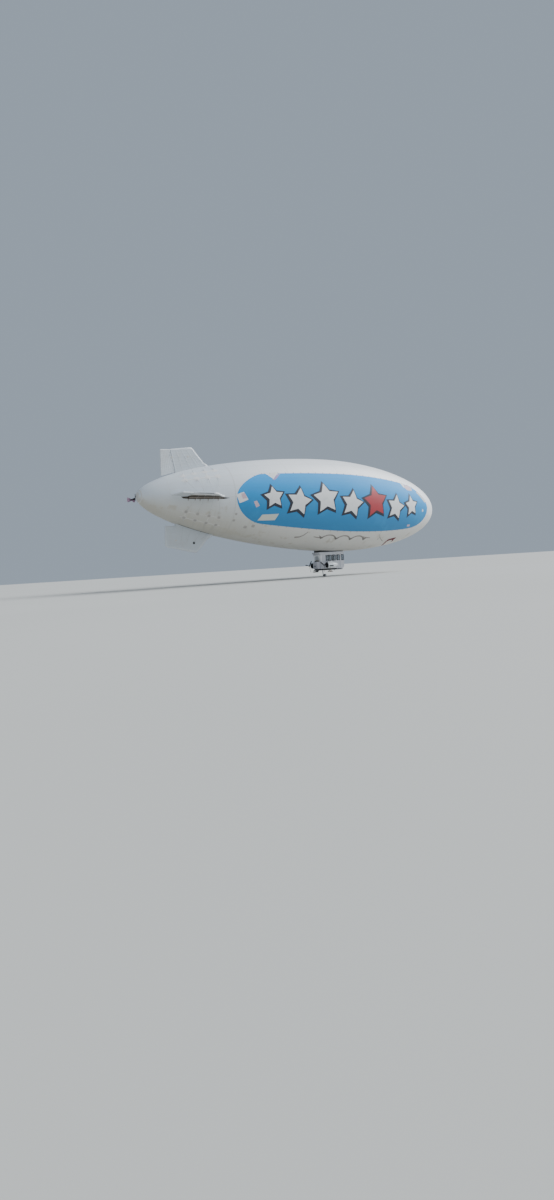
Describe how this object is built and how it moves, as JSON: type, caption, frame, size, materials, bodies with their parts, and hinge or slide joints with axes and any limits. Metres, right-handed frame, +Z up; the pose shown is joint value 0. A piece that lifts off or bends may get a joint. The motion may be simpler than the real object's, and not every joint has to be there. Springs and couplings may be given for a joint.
{
  "type": "two-engine non-rigid airship",
  "caption": "Non-rigid airship: pointed-oval fabric hull, four tail fins, glazed cabin slung below with pusher propellers either side and a castoring wheel.",
  "frame": {"origin": "centre of buoyancy, on the hull's axis", "axes": "+X towards the nose, +Y to port, +Z up; the hull's axis is 2.6 degrees nose-down and the cabin is level"},
  "size_m": [39.5176, 10.1324, 13.622],
  "materials": {
    "skin": "matt coated polyester",
    "fin_skin": "matt doped fabric over frames",
    "cap": "matt paint",
    "shell": "satin white composite",
    "dark": "matt black",
    "alloy": "satin",
    "glazing": "clear acrylic",
    "tyre": "worn rubber",
    "seating": "woven",
    "ribbon": "faded ribbon cloth",
    "wire": "steel cable",
    "propeller": "black composite"
  },
  "bodies": {
    "airframe": {"envelope": "skin", "fin_upper": "fin_skin", "fin_lower": "fin_skin", "fin_port": "fin_skin", "fin_starboard": "fin_skin", "nose_dish": "cap", "stern_cap": "cap", "mooring_spindle": "alloy", "outrigger_port": "alloy", "outrigger_starboard": "alloy", "engine_port": "alloy", "engine_starboard": "alloy", "stern_post": "dark", "roof_collar": "dark", "blower_hood": "dark", "handling_rail": "dark", "exhaust_port": "dark", "exhaust_starboard": "dark", "instrument_panel": "dark", "stern_streamer": "ribbon", "stays_upper_starboard": "wire", "stays_lower_starboard": "wire", "stays_lower_port": "wire", "stays_upper_port": "wire", "cabin_tub": "shell", "cabin_roof": "shell", "cabin_side_port": "shell", "cabin_side_starboard": "shell", "door_post": "shell", "cabin_rear": "shell", "cabin_front": "shell", "tail_box": "shell", "nacelle_port": "shell", "nacelle_starboard": "shell", "gear_leg": "shell", "glass_port": "glazing", "glass_starboard": "glazing", "glass_rear": "glazing", "windscreen": "glazing", "seat_pilot": "seating", "seat_copilot": "seating", "bench_rear": "seating"},
    "rudder": {"rudder": "fin_skin"},
    "elevator_port": {"elevator_port": "fin_skin"},
    "elevator_starboard": {"elevator_starboard": "fin_skin"},
    "propeller_port": {"propeller_port": "propeller"},
    "propeller_starboard": {"propeller_starboard": "propeller"},
    "door": {"door": "shell", "glass_door": "glazing"},
    "castor": {"castor_fork": "alloy"},
    "wheels": {"wheel_hub": "alloy", "tyre_port": "tyre", "tyre_starboard": "tyre"}
  },
  "joints": [
    {"name": "rudder_hinge", "type": "hinge", "parent": "airframe", "child": "rudder", "pos_m": [-16.59165, 0, 3.20595], "axis": [-0.1623, 0, 0.9867], "range_deg": [-25, 25]},
    {"name": "elevator_port_hinge", "type": "hinge", "parent": "airframe", "child": "elevator_port", "pos_m": [-16.70279, 2.45, 0.75847], "axis": [-0.2067, 0.9784, 0.0094], "range_deg": [-25, 25]},
    {"name": "elevator_starboard_hinge", "type": "hinge", "parent": "airframe", "child": "elevator_starboard", "pos_m": [-16.70279, -2.45, 0.75847], "axis": [0.2067, 0.9784, -0.0094], "range_deg": [-25, 25]},
    {"name": "propeller_port_spin", "type": "hinge", "parent": "airframe", "child": "propeller_port", "pos_m": [0.05, 1.35, -6.627], "axis": [1, 0, 0], "continuous": true},
    {"name": "propeller_starboard_spin", "type": "hinge", "parent": "airframe", "child": "propeller_starboard", "pos_m": [0.05, -1.35, -6.627], "axis": [1, 0, 0], "continuous": true},
    {"name": "door_hinge", "type": "hinge", "parent": "airframe", "child": "door", "pos_m": [2.924, -0.67, -6.2], "axis": [0, 0, 1], "range_deg": [0, 80]},
    {"name": "castor_swivel", "type": "hinge", "parent": "airframe", "child": "castor", "pos_m": [0.86, 0, -7.47], "axis": [0, 0, 1], "continuous": true},
    {"name": "wheel_spin", "type": "hinge", "parent": "castor", "child": "wheels", "pos_m": [1.08, 0, -7.73], "axis": [0, 1, 0], "continuous": true}
  ],
  "couplings": [
    {"joint": "elevator_starboard_hinge", "follows": "elevator_port_hinge", "ratio": 1}
  ]
}
